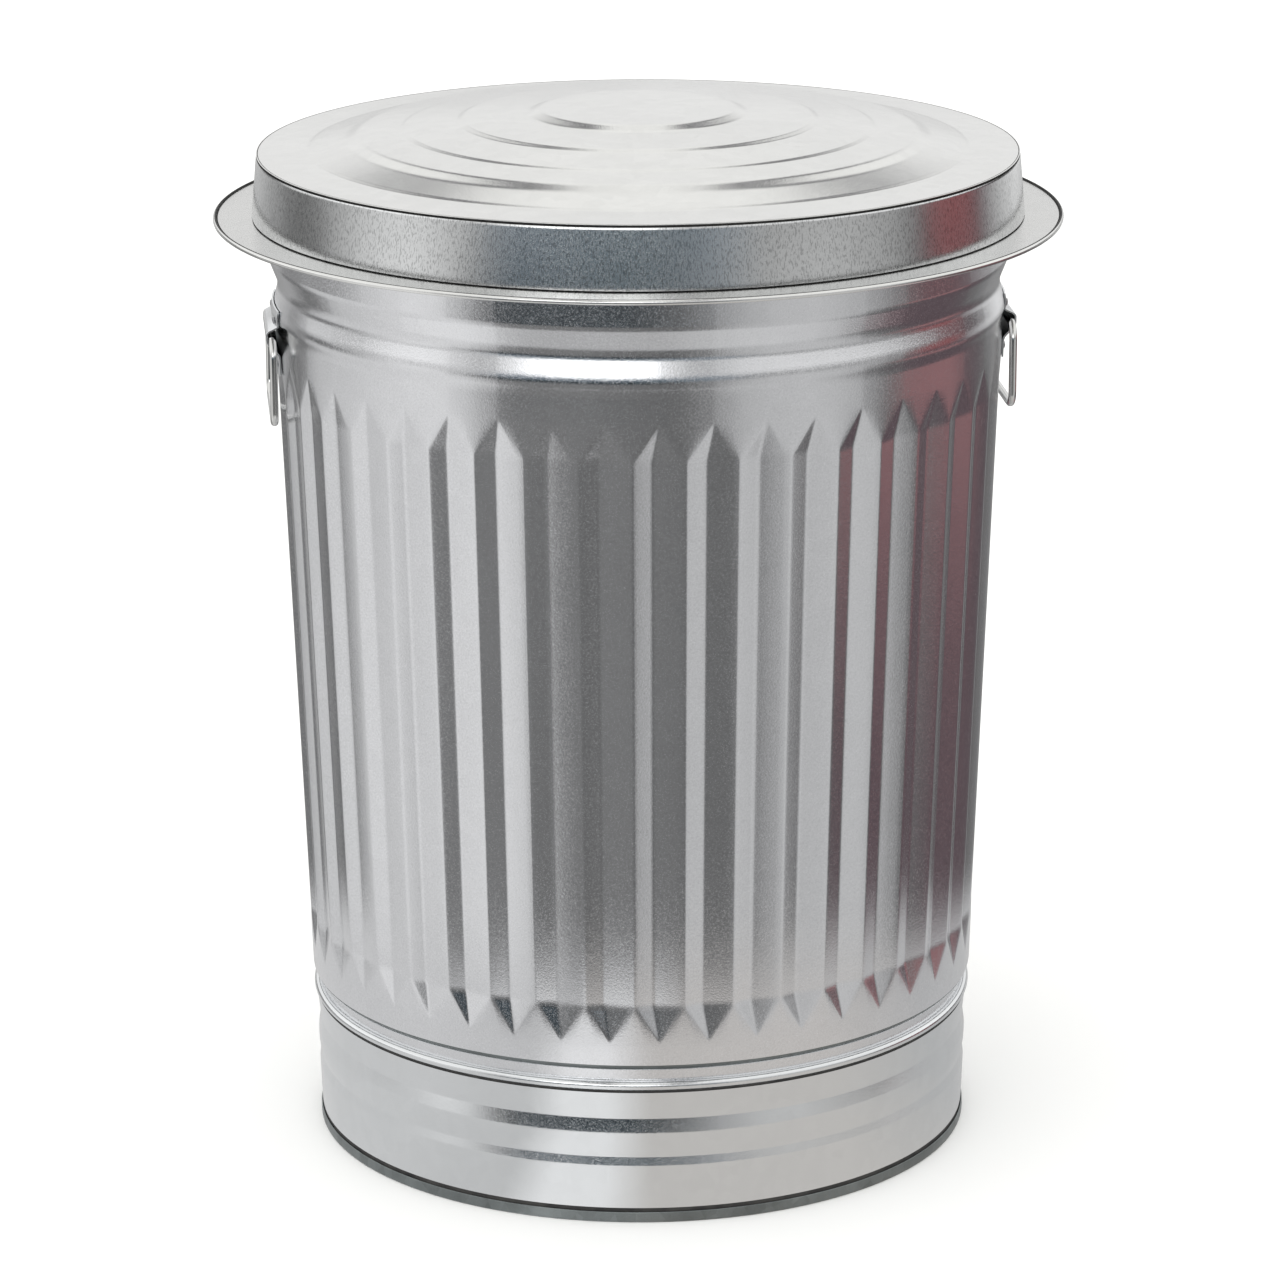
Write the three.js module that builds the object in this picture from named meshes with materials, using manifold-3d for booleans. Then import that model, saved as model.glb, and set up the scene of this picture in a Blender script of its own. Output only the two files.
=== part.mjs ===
// Galvanised steel dustbin with a lift-off lid and two drop handles.
//
// Frame: millimetres, +Z up.  The origin is the centre of the foot ring on the floor,
// so the can stands on z = 0.  The front faces -Y and the two handles are on +X and -X.
//
// The body is one rolled and fluted sheet.  Its top edge is curled over a rim wire, and its
// bottom edge sits with the base pan and the base band in a folded foot ring.  The lid is one
// pressed pan whose flange is hemmed over a wire.  Each handle is a wire bail that turns in a
// riveted strap bracket.

import * as THREE from 'three';
import { mergeVertices } from 'three/addons/utils/BufferGeometryUtils.js';
import Module from 'manifold-3d';

const wasm = await Module();
wasm.setup();

// ---------- driving dimensions ----------

const gap = 0.4;                   // clearance between pieces that touch on the real can

// body shell, radii of its outer face
const bodySheet = 0.7;
const shoulder = { radius: 232, height: 543 };
const neck = { radius: 227.8, height: 560 };
const collar = { radius: 234, height: 576 };
const plainTop = { radius: 230.4, height: 536 };
const fluteTop = { radius: 229.4, apex: 517, base: 494 };
const fluteFoot = { radius: 216.4, apex: 121, base: 144 };
const waist = { radius: 214.9, height: 105 };
const recess = { radius: 211.2, height: 102 };
const skirt = { radius: 208.9, height: 70 };
const bodyBottom = 1.6;

// flutes pressed into the body
const fluteCount = 44;
const fluteDepth = 3;
const fluteValley = 0.37;          // where the valley lies between two crests
const firstCrest = 1.6;            // degrees from the front, -Y, towards +X

// rim of the body: a curl around a wire
const rim = { radius: 233.4, height: 636.3, bore: 2.5, wire: 1.9 };

// base band around the foot of the body
const bandSheet = 0.7;
const bandTop = 94.5;
const bandBottom = 1.6;

// base pan inside the foot of the body
const panSheet = 0.9;
const panRadius = 207.4;
const panHeight = 15;
const panCorner = 4;

// foot ring: a folded channel that the three bottom edges stand in
const foot = { outer: 212.3, inner: 204.9, height: 7, sheet: 0.8 };

// lid, radii and heights of its upper face
const lidSheet = 0.6;
const lidCrown = { radius: 60, height: 667 };
const lidSteps = [[65, 665], [112, 660], [148, 655], [180, 650], [207, 643]];
const lidEdge = { radius: 240, height: 640 };
const lidSkirt = { radius: 243.5, height: 600.9 };
const hem = { radius: 266.3, height: 600.2, outer: 1.7, wire: 0.7 };

// handle bracket: a strap with a straight hood over the bail's top bar
const strap = { width: 66, sheet: 1.2, top: 548, bottom: 507 };
const hood = { face: 236.7, shoulder: 538, upper: 534.5, lower: 527.5, foot: 519.5 };

// bail: a bent wire loop that turns about its top bar
const bail = { wire: 2.5, width: 90, corner: 10, reach: 233.3, top: 530.5, bottom: 478 };
const bailSeam = 1;                // gap between the two wire ends, inside the bracket

// rivets that hold a bracket to the body
const rivet = { shank: 1.8, head: 2.6, dome: 1.1, tail: 2.6, tailThick: 1.2, spread: 24 };
const rivetHeights = [513.2, 541];
const rivetHole = 2.2;
const rivetHeadSeat = 1.9;         // above the body's outer face
const rivetTailSeat = -1.8;        // behind the body's outer face

// how finely round pieces are cut
const lidSides = 48;
const bandSides = 48;
const baseSides = 42;
const smallSides = 8;

// ---------- looks ----------

const finish = (color, roughness) => new THREE.MeshStandardMaterial({ color, roughness, metalness: 1 });
const galvanisedBody = finish(0xb9bdc2, 0.3);
const galvanisedLid = finish(0xc6c9c6, 0.42);
const galvanisedBase = finish(0xb2b7bc, 0.34);
const dullZinc = finish(0x6d7478, 0.5);
const brightWire = finish(0xc4c7c8, 0.25);
const plainSteel = finish(0x8d9296, 0.45);

// ---------- profile helpers: a profile is a list of [radius, height] ----------

// Points on an arc of the profile plane, from one angle to another, in degrees.
function arc(centre, radius, from, to, steps) {
  return Array.from({ length: steps + 1 }, (_, i) => {
    const angle = THREE.MathUtils.degToRad(from + (to - from) * i / steps);
    return [centre[0] + radius * Math.cos(angle), centre[1] + radius * Math.sin(angle)];
  });
}

// The line a distance to the left of a profile, or to its right when the distance is negative.
function offset(points, distance) {
  const normal = (a, b) => new THREE.Vector2(a[1] - b[1], b[0] - a[0]).normalize();
  return points.map((point, i) => {
    const before = normal(points[Math.max(i - 1, 0)], points[Math.max(i, 1)]);
    const last = points.length - 1;
    const after = normal(points[Math.min(i, last - 1)], points[Math.min(i + 1, last)]);
    const mitre = before.clone().add(after).normalize();
    mitre.multiplyScalar(distance / mitre.dot(before));
    return [point[0] + mitre.x, point[1] + mitre.y];
  });
}

// A closed outline of a sheet whose right-hand face is the given line.
function sheetFromRight(points, thickness) {
  return [...points, ...offset(points, thickness).reverse()];
}

// A closed outline of a sheet whose left-hand face is the given line.
function sheetFromLeft(points, thickness) {
  return [...offset(points, -thickness), ...points.slice().reverse()];
}

// Turn an anticlockwise outline about Z.  An outline off the axis is closed on itself.
function turned(outline, sides) {
  const closed = outline[0][0] === 0 ? outline : [...outline, outline[0]];
  const points = closed.map(([radius, height]) => new THREE.Vector2(radius, height));
  return new THREE.LatheGeometry(points, sides).rotateX(Math.PI / 2);
}

// A closed skin over rings of points: each ring is a closed loop of the same length.
// With capped ends the first and last ring are filled, otherwise the last joins the first.
function skin(rings, capped) {
  const around = rings[0].length;
  const indices = [];
  const lastBand = capped ? rings.length - 1 : rings.length;
  for (let i = 0; i < lastBand; i++) {
    const low = i * around;
    const high = ((i + 1) % rings.length) * around;
    for (let j = 0; j < around; j++) {
      const next = (j + 1) % around;
      indices.push(low + j, low + next, high + next);
      indices.push(low + j, high + next, high + j);
    }
  }
  const geometry = new THREE.BufferGeometry();
  geometry.setAttribute('position', new THREE.Float32BufferAttribute(rings.flat(2), 3));
  return { geometry, indices };
}

// ---------- booleans ----------

function toManifold(geometry) {
  const bare = geometry.clone();
  bare.deleteAttribute('normal');
  bare.deleteAttribute('uv');
  const merged = mergeVertices(bare, 1e-4);
  return new wasm.Manifold(new wasm.Mesh({
    numProp: 3,
    vertProperties: new Float32Array(merged.attributes.position.array),
    triVerts: new Uint32Array(merged.index.array),
  }));
}

// The geometry with holes where the cutters are.
function drilled(geometry, cutters) {
  let solid = toManifold(geometry);
  for (const cutter of cutters) solid = solid.subtract(toManifold(cutter));
  const mesh = solid.getMesh();
  const result = new THREE.BufferGeometry();
  result.setAttribute('position', new THREE.BufferAttribute(mesh.vertProperties, 3));
  result.setIndex(new THREE.BufferAttribute(mesh.triVerts, 1));
  return result;
}

// ---------- the group ----------

const can = new THREE.Group();

function add(name, geometry, material, parent = can) {
  const mesh = new THREE.Mesh(geometry, material);
  mesh.name = name;
  parent.add(mesh);
  return mesh;
}

// ---------- body shell ----------

// Outer face of the body from its foot up to the curl; the third value is the flute's strength.
const bodyFace = [
  [skirt.radius, bodyBottom, 0],
  [skirt.radius, skirt.height, 0],
  [recess.radius, recess.height, 0],
  [waist.radius, waist.height, 0],
  [fluteFoot.radius - 0.6, fluteFoot.apex, 0],
  [fluteFoot.radius, fluteFoot.base, 1],
  [fluteTop.radius, fluteTop.base, 1],
  [plainTop.radius - 0.5, fluteTop.apex, 0],
  [plainTop.radius, plainTop.height, 0],
  [shoulder.radius, shoulder.height, 0],
  [neck.radius, neck.height, 0],
  [collar.radius, collar.height, 0],
  ...arc([rim.radius, rim.height], rim.bore, 180, -60, 5).map(([r, z]) => [r, z, 0]),
];

// Radius of the body's outer face at a height between two points of its plain upper wall.
function bodyRadius(height) {
  const above = bodyFace.findIndex(([, z]) => z >= height);
  const [r0, z0] = bodyFace[above - 1];
  const [r1, z1] = bodyFace[above];
  return r0 + (r1 - r0) * (height - z0) / (z1 - z0);
}

// Angle of the surface normal above the horizontal, in radians, at a height of the wall.
function bodyTilt(height) {
  const above = bodyFace.findIndex(([, z]) => z >= height);
  const [r0, z0] = bodyFace[above - 1];
  const [r1, z1] = bodyFace[above];
  return Math.atan2(r0 - r1, z1 - z0);
}

// The body's columns: a crest and a valley for each flute, so that its facets match its flutes.
const bodyColumns = Array.from({ length: fluteCount }, (_, i) => {
  const pitch = 360 / fluteCount;
  const crest = firstCrest + i * pitch - 90;
  return [
    { angle: THREE.MathUtils.degToRad(crest), depth: 0 },
    { angle: THREE.MathUtils.degToRad(crest + fluteValley * pitch), depth: fluteDepth },
  ];
}).flat();

// An outline turned about Z on the body's columns, pressed in at each valley.
function fluted(outline, strengths) {
  const rings = outline.map(([radius, height], i) => bodyColumns.map(({ angle, depth }) => {
    const pressed = radius - depth * strengths[i];
    return [pressed * Math.cos(angle), pressed * Math.sin(angle), height];
  }));
  const { geometry, indices } = skin(rings, false);
  geometry.setIndex(indices);
  return geometry;
}

function bodyShell() {
  const strengths = bodyFace.map(point => point[2]);
  return fluted(sheetFromRight(bodyFace, bodySheet), [...strengths, ...strengths.slice().reverse()]);
}

function rimWire() {
  const outline = arc([rim.radius, rim.height], rim.wire, 0, 300, 5);
  return fluted(outline, outline.map(() => 0));
}

// ---------- handles ----------

// Where the four rivets of a handle go, on the side that faces +X.
const rivetPlaces = rivetHeights.flatMap(height => [-1, 1].map(side => {
  const radius = bodyRadius(height);
  const angle = Math.asin(side * rivet.spread / radius);
  return { radius, angle, height, tilt: bodyTilt(height) };
}));

// A matrix that takes local +Y to the body's outward normal at a rivet.
function rivetMatrix({ radius, angle, height, tilt }) {
  const lay = new THREE.Matrix4().makeRotationZ(tilt - Math.PI / 2);
  const upright = new THREE.Matrix4().makeRotationX(Math.PI / 2);
  const swing = new THREE.Matrix4().makeRotationZ(angle);
  const place = new THREE.Matrix4().makeTranslation(radius, 0, height);
  return swing.multiply(place).multiply(upright).multiply(lay);
}

function rivetCutters() {
  const depth = 12;
  return rivetPlaces.map(where => {
    const drill = new THREE.CylinderGeometry(rivetHole, rivetHole, depth, smallSides);
    return drill.applyMatrix4(rivetMatrix(where));
  });
}

function rivetShape() {
  const tailEnd = rivetTailSeat - rivet.tailThick;
  const profile = [
    [0, tailEnd],
    [rivet.tail, tailEnd],
    [rivet.tail, rivetTailSeat],
    [rivet.shank, rivetTailSeat],
    [rivet.shank, rivetHeadSeat],
    [rivet.head, rivetHeadSeat],
    [rivet.head * 0.7, rivetHeadSeat + rivet.dome * 0.75],
    [0, rivetHeadSeat + rivet.dome],
  ];
  return new THREE.LatheGeometry(profile.map(([r, h]) => new THREE.Vector2(r, h)), smallSides);
}

// The strap follows the curved wall above and below, and its hood is straight.
function bracketShape() {
  const clear = gap + strap.sheet / 2;
  const stations = 8;
  const rings = Array.from({ length: stations + 1 }, (_, i) => {
    const across = strap.width * (i / stations - 0.5);
    const onWall = height => {
      const radius = bodyRadius(height) + clear / Math.cos(bodyTilt(height));
      return [Math.sqrt(radius * radius - across * across), height];
    };
    const line = [
      onWall(strap.bottom),
      onWall(hood.foot),
      [hood.face, hood.lower],
      [hood.face, hood.upper],
      onWall(hood.shoulder),
      onWall(shoulder.height),
      onWall(strap.top),
    ];
    const inside = offset(line, strap.sheet / 2);
    const outside = offset(line, -strap.sheet / 2);
    return [...outside, ...inside.reverse()].map(([x, z]) => [x, across, z]);
  });
  const { geometry, indices } = skin(rings, true);
  const faced = indices.flatMap((_, i) => i % 3 ? [] : [indices[i], indices[i + 2], indices[i + 1]]);
  const outline = rings[0].map(([x, , z]) => new THREE.Vector2(x, z));
  const last = stations * outline.length;
  for (const [a, b, c] of THREE.ShapeUtils.triangulateShape(outline, [])) {
    faced.push(a, b, c);
    faced.push(last + a, last + c, last + b);
  }
  geometry.setIndex(faced);
  return geometry;
}

// The wire starts and ends inside the bracket, a small gap apart.
function bailShape() {
  const half = bail.width / 2;
  const r = bail.corner;
  const turns = 4;
  const corners = [
    { centre: [half - r, bail.top - r], from: 90, to: 0 },
    { centre: [half - r, bail.bottom + r], from: 0, to: -90 },
    { centre: [r - half, bail.bottom + r], from: -90, to: -180 },
    { centre: [r - half, bail.top - r], from: -180, to: -270 },
  ];
  const path = [
    [bailSeam / 2, bail.top],
    ...corners.flatMap(({ centre, from, to }) => arc(centre, r, from, to, turns)),
    [-bailSeam / 2, bail.top],
  ];
  const edges = offset(path, 1);
  const rings = path.map(([y, z], i) => {
    const [sideY, sideZ] = [edges[i][0] - y, edges[i][1] - z];
    return Array.from({ length: smallSides }, (_, j) => {
      const angle = 2 * Math.PI * j / smallSides;
      const side = bail.wire * Math.cos(angle);
      return [bail.reach + bail.wire * Math.sin(angle), y + side * sideY, z + side * sideZ];
    });
  });
  const { geometry, indices } = skin(rings, true);
  const last = (path.length - 1) * smallSides;
  for (let j = 1; j < smallSides - 1; j++) {
    indices.push(0, j + 1, j);
    indices.push(last, last + j, last + j + 1);
  }
  geometry.setIndex(indices);
  return geometry;
}

// ---------- assembly ----------

const sides = [
  { name: 'right', turn: 0 },
  { name: 'left', turn: Math.PI },
];

const cutters = rivetCutters();
const turnedCutters = cutters.map(cutter => cutter.clone().rotateZ(Math.PI));
add('body_shell', drilled(bodyShell(), [...cutters, ...turnedCutters]), galvanisedBody);

add('rim_wire', rimWire(), plainSteel);

// outer face of the base band: a flared foot, a step, a swaged rib and the rolled top bead
const bandFace = [
  [210.6, bandBottom],
  [211.8, 38.5],
  [211.1, 44.8],
  [212.3, 52],
  [212.3, 60.3],
  [211.1, 69],
  [213.2, 86.8],
  [214.6, 90.5],
  [213.4, bandTop],
];
add('base_band', turned(sheetFromRight(bandFace, bandSheet), bandSides), galvanisedBase);

const panFace = [
  [0, panHeight],
  [panRadius - panCorner, panHeight],
  [panRadius, panHeight - panCorner],
  [panRadius, bodyBottom],
];
add('base_pan', turned(sheetFromLeft(panFace, panSheet), baseSides), galvanisedBase);

const footOutline = [
  [foot.inner, 0],
  [foot.outer, 0],
  [foot.outer, foot.height],
  [foot.outer - foot.sheet, foot.height],
  [foot.outer - foot.sheet, foot.sheet],
  [foot.inner + foot.sheet, foot.sheet],
  [foot.inner + foot.sheet, foot.height],
  [foot.inner, foot.height],
];
add('foot_ring', turned(footOutline, baseSides), dullZinc);

const lidFace = [
  [0, lidCrown.height],
  [lidCrown.radius, lidCrown.height],
  ...lidSteps,
  [lidEdge.radius, lidEdge.height],
  [lidSkirt.radius, lidSkirt.height],
  ...arc([hem.radius, hem.height], hem.outer, 90, -135, 5),
];
add('lid_pan', turned(sheetFromLeft(lidFace, lidSheet), lidSides), galvanisedLid);

const hemWire = arc([hem.radius, hem.height], hem.wire, 0, 270, 3);
add('lid_edge_wire', turned(hemWire, lidSides), plainSteel);

const rivetNames = ['lower_front', 'lower_rear', 'upper_front', 'upper_rear'];
for (const { name, turn } of sides) {
  const side = new THREE.Group();
  side.rotation.z = turn;
  can.add(side);
  add(`handle_bracket_${name}`, drilled(bracketShape(), cutters), galvanisedBase, side);
  add(`handle_${name}`, bailShape(), brightWire, side);
  rivetPlaces.forEach((where, i) => {
    const piece = add(`rivet_${name}_${rivetNames[i]}`, rivetShape(), plainSteel, side);
    piece.applyMatrix4(rivetMatrix(where));
  });
}

export default can;
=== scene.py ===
"""Looks of a galvanised steel dustbin with a lift-off lid and two drop handles.

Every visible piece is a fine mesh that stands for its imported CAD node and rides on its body.
Lengths are in metres, in the part's own frame: +Z up, handles on +X and -X, front towards -Y.
A turned piece is a line of (radius, height) points whose right-hand side is its visible face.
"""
import math

import bpy
import numpy as np
from mathutils import Matrix, Vector


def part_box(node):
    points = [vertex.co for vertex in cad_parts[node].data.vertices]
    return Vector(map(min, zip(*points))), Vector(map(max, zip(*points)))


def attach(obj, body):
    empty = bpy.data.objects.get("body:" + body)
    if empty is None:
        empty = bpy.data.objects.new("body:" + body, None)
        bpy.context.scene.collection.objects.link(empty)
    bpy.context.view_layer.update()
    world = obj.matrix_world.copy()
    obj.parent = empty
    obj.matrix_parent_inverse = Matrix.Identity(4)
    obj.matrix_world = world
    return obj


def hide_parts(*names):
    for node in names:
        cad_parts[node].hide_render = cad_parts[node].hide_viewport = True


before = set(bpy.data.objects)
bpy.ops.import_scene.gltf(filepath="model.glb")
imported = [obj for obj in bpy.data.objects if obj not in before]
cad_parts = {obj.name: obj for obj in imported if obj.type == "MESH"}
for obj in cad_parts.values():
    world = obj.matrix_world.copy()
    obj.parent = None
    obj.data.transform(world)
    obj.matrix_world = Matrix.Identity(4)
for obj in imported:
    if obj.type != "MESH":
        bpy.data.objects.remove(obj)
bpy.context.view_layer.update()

MM = 0.001
SHARP_ANGLE = math.radians(40)

# ---------- camera ----------

VIEW_AZIMUTH = math.radians(-5.5)     # the camera stands a little towards the left handle
VIEW_DISTANCE = 3.2907                # from the can's axis, along the floor
VIEW_HEIGHT = 1.2754
VIEW_PITCH = math.radians(16.226)
VIEW_ROLL = math.radians(-0.226)
VIEW_LENS = 149.1
SENSOR_WIDTH = 36
FAR_CLIP = 100


def make_camera():
    """The camera, at the photograph's viewing angle and looking down at the can."""
    data = bpy.data.cameras.new("camera")
    data.lens = VIEW_LENS
    data.sensor_width = SENSOR_WIDTH
    data.clip_end = FAR_CLIP
    camera = bpy.data.objects.new("camera", data)
    bpy.context.scene.collection.objects.link(camera)
    place = Matrix.Rotation(VIEW_AZIMUTH, 4, "Z") @ Matrix.Translation((0, -VIEW_DISTANCE, VIEW_HEIGHT))
    aim = Matrix.Rotation(math.pi / 2 - VIEW_PITCH, 4, "X") @ Matrix.Rotation(VIEW_ROLL, 4, "Z")
    camera.matrix_world = place @ aim
    bpy.context.scene.camera = camera


# ---------- sizes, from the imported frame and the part's design ----------

lid_low, lid_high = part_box("lid_pan")
band_low, band_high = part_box("base_band")
foot_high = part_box("foot_ring")[1]
shell_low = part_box("body_shell")[0]
bail_low, bail_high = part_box("handle_right")
strap_low, strap_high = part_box("handle_bracket_right")
pan_low, pan_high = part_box("base_pan")

BODY_SHEET = 0.7 * MM
LID_SHEET = 0.6 * MM
PAN_SHEET = 0.9 * MM
FOOT_SHEET = 0.8 * MM
STRAP_SHEET = 1.2 * MM
STRAP_GAP = 0.4 * MM                  # between the strap's back and the body's wall

# body: radius of the outer face and its height, at each bend
SHOULDER = (232.0 * MM, 543 * MM)
NECK = (227.8 * MM, 560 * MM)
COLLAR = (234.0 * MM, 576 * MM)
PLAIN_TOP = (230.4 * MM, 536 * MM)
WAIST = (214.9 * MM, 105 * MM)
RECESS = (211.2 * MM, 102 * MM)
SKIRT = (208.9 * MM, 70 * MM)

# flutes: each has its whole width between its two bases, and narrows to a point at its two apexes
FLUTE_TOP_RADIUS = 229.4 * MM
FLUTE_TOP_APEX, FLUTE_TOP_BASE = 517 * MM, 494 * MM
FLUTE_FOOT_RADIUS = 216.4 * MM
FLUTE_FOOT_APEX, FLUTE_FOOT_BASE = 121 * MM, 144 * MM
FLUTES = 44
FLUTE_DEPTH = 3.0 * MM
FLUTE_VALLEY = 0.38                   # where the valley lies between two crests
FRONT = -90                           # degrees round from +X
FIRST_CREST = math.radians(FRONT + 1.6)

RIM_CENTRE = (233.4 * MM, 636.3 * MM)
RIM_BORE = 2.5 * MM
RIM_WIRE = 1.9 * MM
RIM_CURL = (180, -75)                 # from the wall over the wire and under it, in degrees

# ---------- profiles and meshes ----------

LONGEST_BEND = 0.49                   # the most of a straight stretch that a bend takes up
ON_AXIS = 1e-7                        # a smaller radius counts as on the axis


def arc(centre, radius, start, end, steps):
    """Points of an arc in the profile plane, from one angle to another, in degrees."""
    angles = np.radians(np.linspace(start, end, steps + 1))
    return [(centre[0] + radius * math.cos(a), centre[1] + radius * math.sin(a)) for a in angles]


def rounded(points, steps=4):
    """A line through (radius, height, bend) points, each corner turned within its bend's length."""
    line = [points[0][:2]]
    for before, here, after in zip(points, points[1:], points[2:]):
        corner = Vector(here[:2])
        bend = here[2] if len(here) > 2 else 0
        if bend == 0:
            line.append(tuple(corner))
            continue
        into = Vector(before[:2]) - corner
        out = Vector(after[:2]) - corner
        start = corner + into.normalized() * min(bend, into.length * LONGEST_BEND)
        end = corner + out.normalized() * min(bend, out.length * LONGEST_BEND)
        for i in range(steps + 1):
            t = i / steps
            line.append(tuple((1 - t) ** 2 * start + 2 * t * (1 - t) * corner + t * t * end))
    line.append(points[-1][:2])
    return line


def band_faces(rings, around, closed_rings=False):
    """Quads between neighbouring rings of vertices, and from the last to the first if closed."""
    faces = []
    for i in range(rings if closed_rings else rings - 1):
        low = i * around
        high = (i + 1) % rings * around
        for j in range(around):
            k = (j + 1) % around
            faces.append((low + j, low + k, high + k, high + j))
    return faces


def pole_faces(ring_start, around, pole):
    """Triangles from a ring of vertices to one vertex beyond it."""
    return [(ring_start + j, ring_start + (j + 1) % around, pole) for j in range(around)]


def end_caps(rings, around):
    """The faces that close the two ends of a tube of rings."""
    last = (rings - 1) * around
    return [tuple(reversed(range(around))), tuple(range(last, last + around))]


def piece(name, vertices, faces, material, body, slot, *nodes):
    """A smooth-shaded piece that rides on a body and stands for CAD nodes."""
    mesh = bpy.data.meshes.new(name)
    mesh.from_pydata([tuple(v) for v in vertices], [], faces)
    mesh.validate()
    mesh.shade_smooth()
    mesh.set_sharp_from_angle(angle=SHARP_ANGLE)
    mesh.materials.append(material)
    made = bpy.data.objects.new(name, mesh)
    bpy.context.scene.collection.objects.link(made)
    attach(made, body)
    if nodes:
        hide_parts(*nodes)
    return made


def thicken(made, thickness):
    """Gives an open sheet its thickness, behind its visible face, with crisp cut edges."""
    solidify = made.modifiers.new("sheet", "SOLIDIFY")
    solidify.thickness = thickness
    solidify.offset = -1
    solidify.use_even_offset = True
    solidify.use_quality_normals = True
    evaluated = made.evaluated_get(bpy.context.evaluated_depsgraph_get())
    solid = bpy.data.meshes.new_from_object(evaluated)
    made.modifiers.clear()
    made.data = solid
    solid.set_sharp_from_angle(angle=SHARP_ANGLE)


def turned(name, line, segments, material, body, slot, *nodes, closed=False):
    """A profile turned about Z.  A point on the axis becomes one vertex."""
    angles = np.linspace(0, 2 * np.pi, segments, endpoint=False)
    on_axis = line[-1][0] < ON_AXIS
    rings = line[:-1] if on_axis else line
    vertices = [(r * math.cos(a), r * math.sin(a), z) for r, z in rings for a in angles]
    faces = band_faces(len(rings), segments, closed_rings=closed)
    if on_axis:
        faces += pole_faces((len(rings) - 1) * segments, segments, len(vertices))
        vertices.append((0, 0, line[-1][1]))
    return piece(name, vertices, faces, material, body, slot, *nodes)


def paint_rings(made, stretches, segments):
    """Gives each stretch of a turned profile its own material.  Faces run ring by ring."""
    mesh = made.data
    mesh.materials.clear()
    materials = list(dict.fromkeys(material for _, material in stretches))
    for material in materials:
        mesh.materials.append(material)
    owner = [materials.index(material) for points, material in stretches for _ in points]
    indices = [owner[i // segments] for i in range(len(mesh.polygons))]
    mesh.polygons.foreach_set("material_index", indices)


# ---------- materials ----------

GRAIN_SIZE = 1.2 * MM
SPANGLE_SIZE = 9 * MM
STREAK_STRETCH = 0.3
CLOUD_WAVES = 14                      # to the metre
WIPE_WAVES, WIPE_STRETCH = 55, 0.14
# waves to the metre of the mottling in the painted joint shade
CREVICE_SHADE_WAVES = 90
BUMP_DISTANCE = 0.1 * MM


def new_material(name):
    """A material with its node tree and its shader."""
    material = bpy.data.materials.new(name)
    material.use_nodes = True
    tree = material.node_tree
    return material, tree, tree.nodes["Principled BSDF"]


def add_node(tree, kind, links=None, **settings):
    """A shader node with its settings, and its inputs linked or set by name or number."""
    node = tree.nodes.new(kind)
    for key, value in settings.items():
        setattr(node, key, value)
    for key, value in (links or {}).items():
        if isinstance(value, bpy.types.NodeSocket):
            tree.links.new(value, node.inputs[key])
        else:
            node.inputs[key].default_value = value
    return node


def math_node(tree, operation, *values):
    """The result of one operation on numbers and sockets."""
    return add_node(tree, "ShaderNodeMath", dict(enumerate(values)), operation=operation).outputs[0]


def noise(tree, coordinates, scale, stretch=(1, 1, 1), detail=2.0, roughness=0.5):
    """A noise pattern from 0 to 1, with so many waves to the metre."""
    moved = add_node(tree, "ShaderNodeMapping", {"Vector": coordinates, "Scale": stretch})
    made = add_node(tree, "ShaderNodeTexNoise", {
        "Vector": moved.outputs[0], "Scale": scale, "Detail": detail, "Roughness": roughness,
    })
    return made.outputs["Fac"]


def centred(tree, value, amount):
    """A 0 to 1 pattern as a swing of the given amount about zero."""
    return math_node(tree, "MULTIPLY", math_node(tree, "SUBTRACT", value, 0.5), amount)


def mapped(tree, value, low, high, smooth=False):
    """A value stretched so that it is 0 up to the low end and 1 from the high end on."""
    kind = "SMOOTHSTEP" if smooth else "LINEAR"
    return add_node(tree, "ShaderNodeMapRange", {
        "Value": value, "From Min": low, "From Max": high, "To Min": 0.0, "To Max": 1.0,
    }, interpolation_type=kind).outputs[0]


def blended(tree, amount, first, second):
    """The first colour where the amount is 0, and the second where it is 1."""
    return add_node(tree, "ShaderNodeMix", {0: amount, 6: first, 7: second}, data_type="RGBA").outputs[2]


def total(tree, *values):
    """The sum of several patterns."""
    result = values[0]
    for value in values[1:]:
        result = math_node(tree, "ADD", result, value)
    return result


def zinc_patterns(tree, place, grain_size):
    """The patterns that every zinc surface shares, each from 0 to 1."""
    fine = noise(tree, place, 1 / grain_size, detail=3, roughness=0.7)
    cells = add_node(tree, "ShaderNodeTexVoronoi", {"Vector": place, "Scale": 1 / SPANGLE_SIZE})
    crystal = add_node(tree, "ShaderNodeSeparateColor", {0: cells.outputs["Color"]}).outputs[0]
    return {
        "fine": fine,
        "fleck": mapped(tree, fine, 0.42, 0.66),
        "streak": noise(tree, place, 1 / grain_size, stretch=(1, 1, STREAK_STRETCH), detail=1),
        "cloud": noise(tree, place, CLOUD_WAVES, detail=4, roughness=0.6),
        "wipe": noise(tree, place, WIPE_WAVES, stretch=(1, 1, WIPE_STRETCH), detail=3, roughness=0.6),
        "crystal": crystal,
    }


def give_bump(tree, shader, height, strength):
    """Raises the surface by a pattern, as bump only."""
    bump = add_node(tree, "ShaderNodeBump", {
        "Height": height, "Strength": strength, "Distance": BUMP_DISTANCE,
    })
    tree.links.new(bump.outputs[0], shader.inputs["Normal"])


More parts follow.
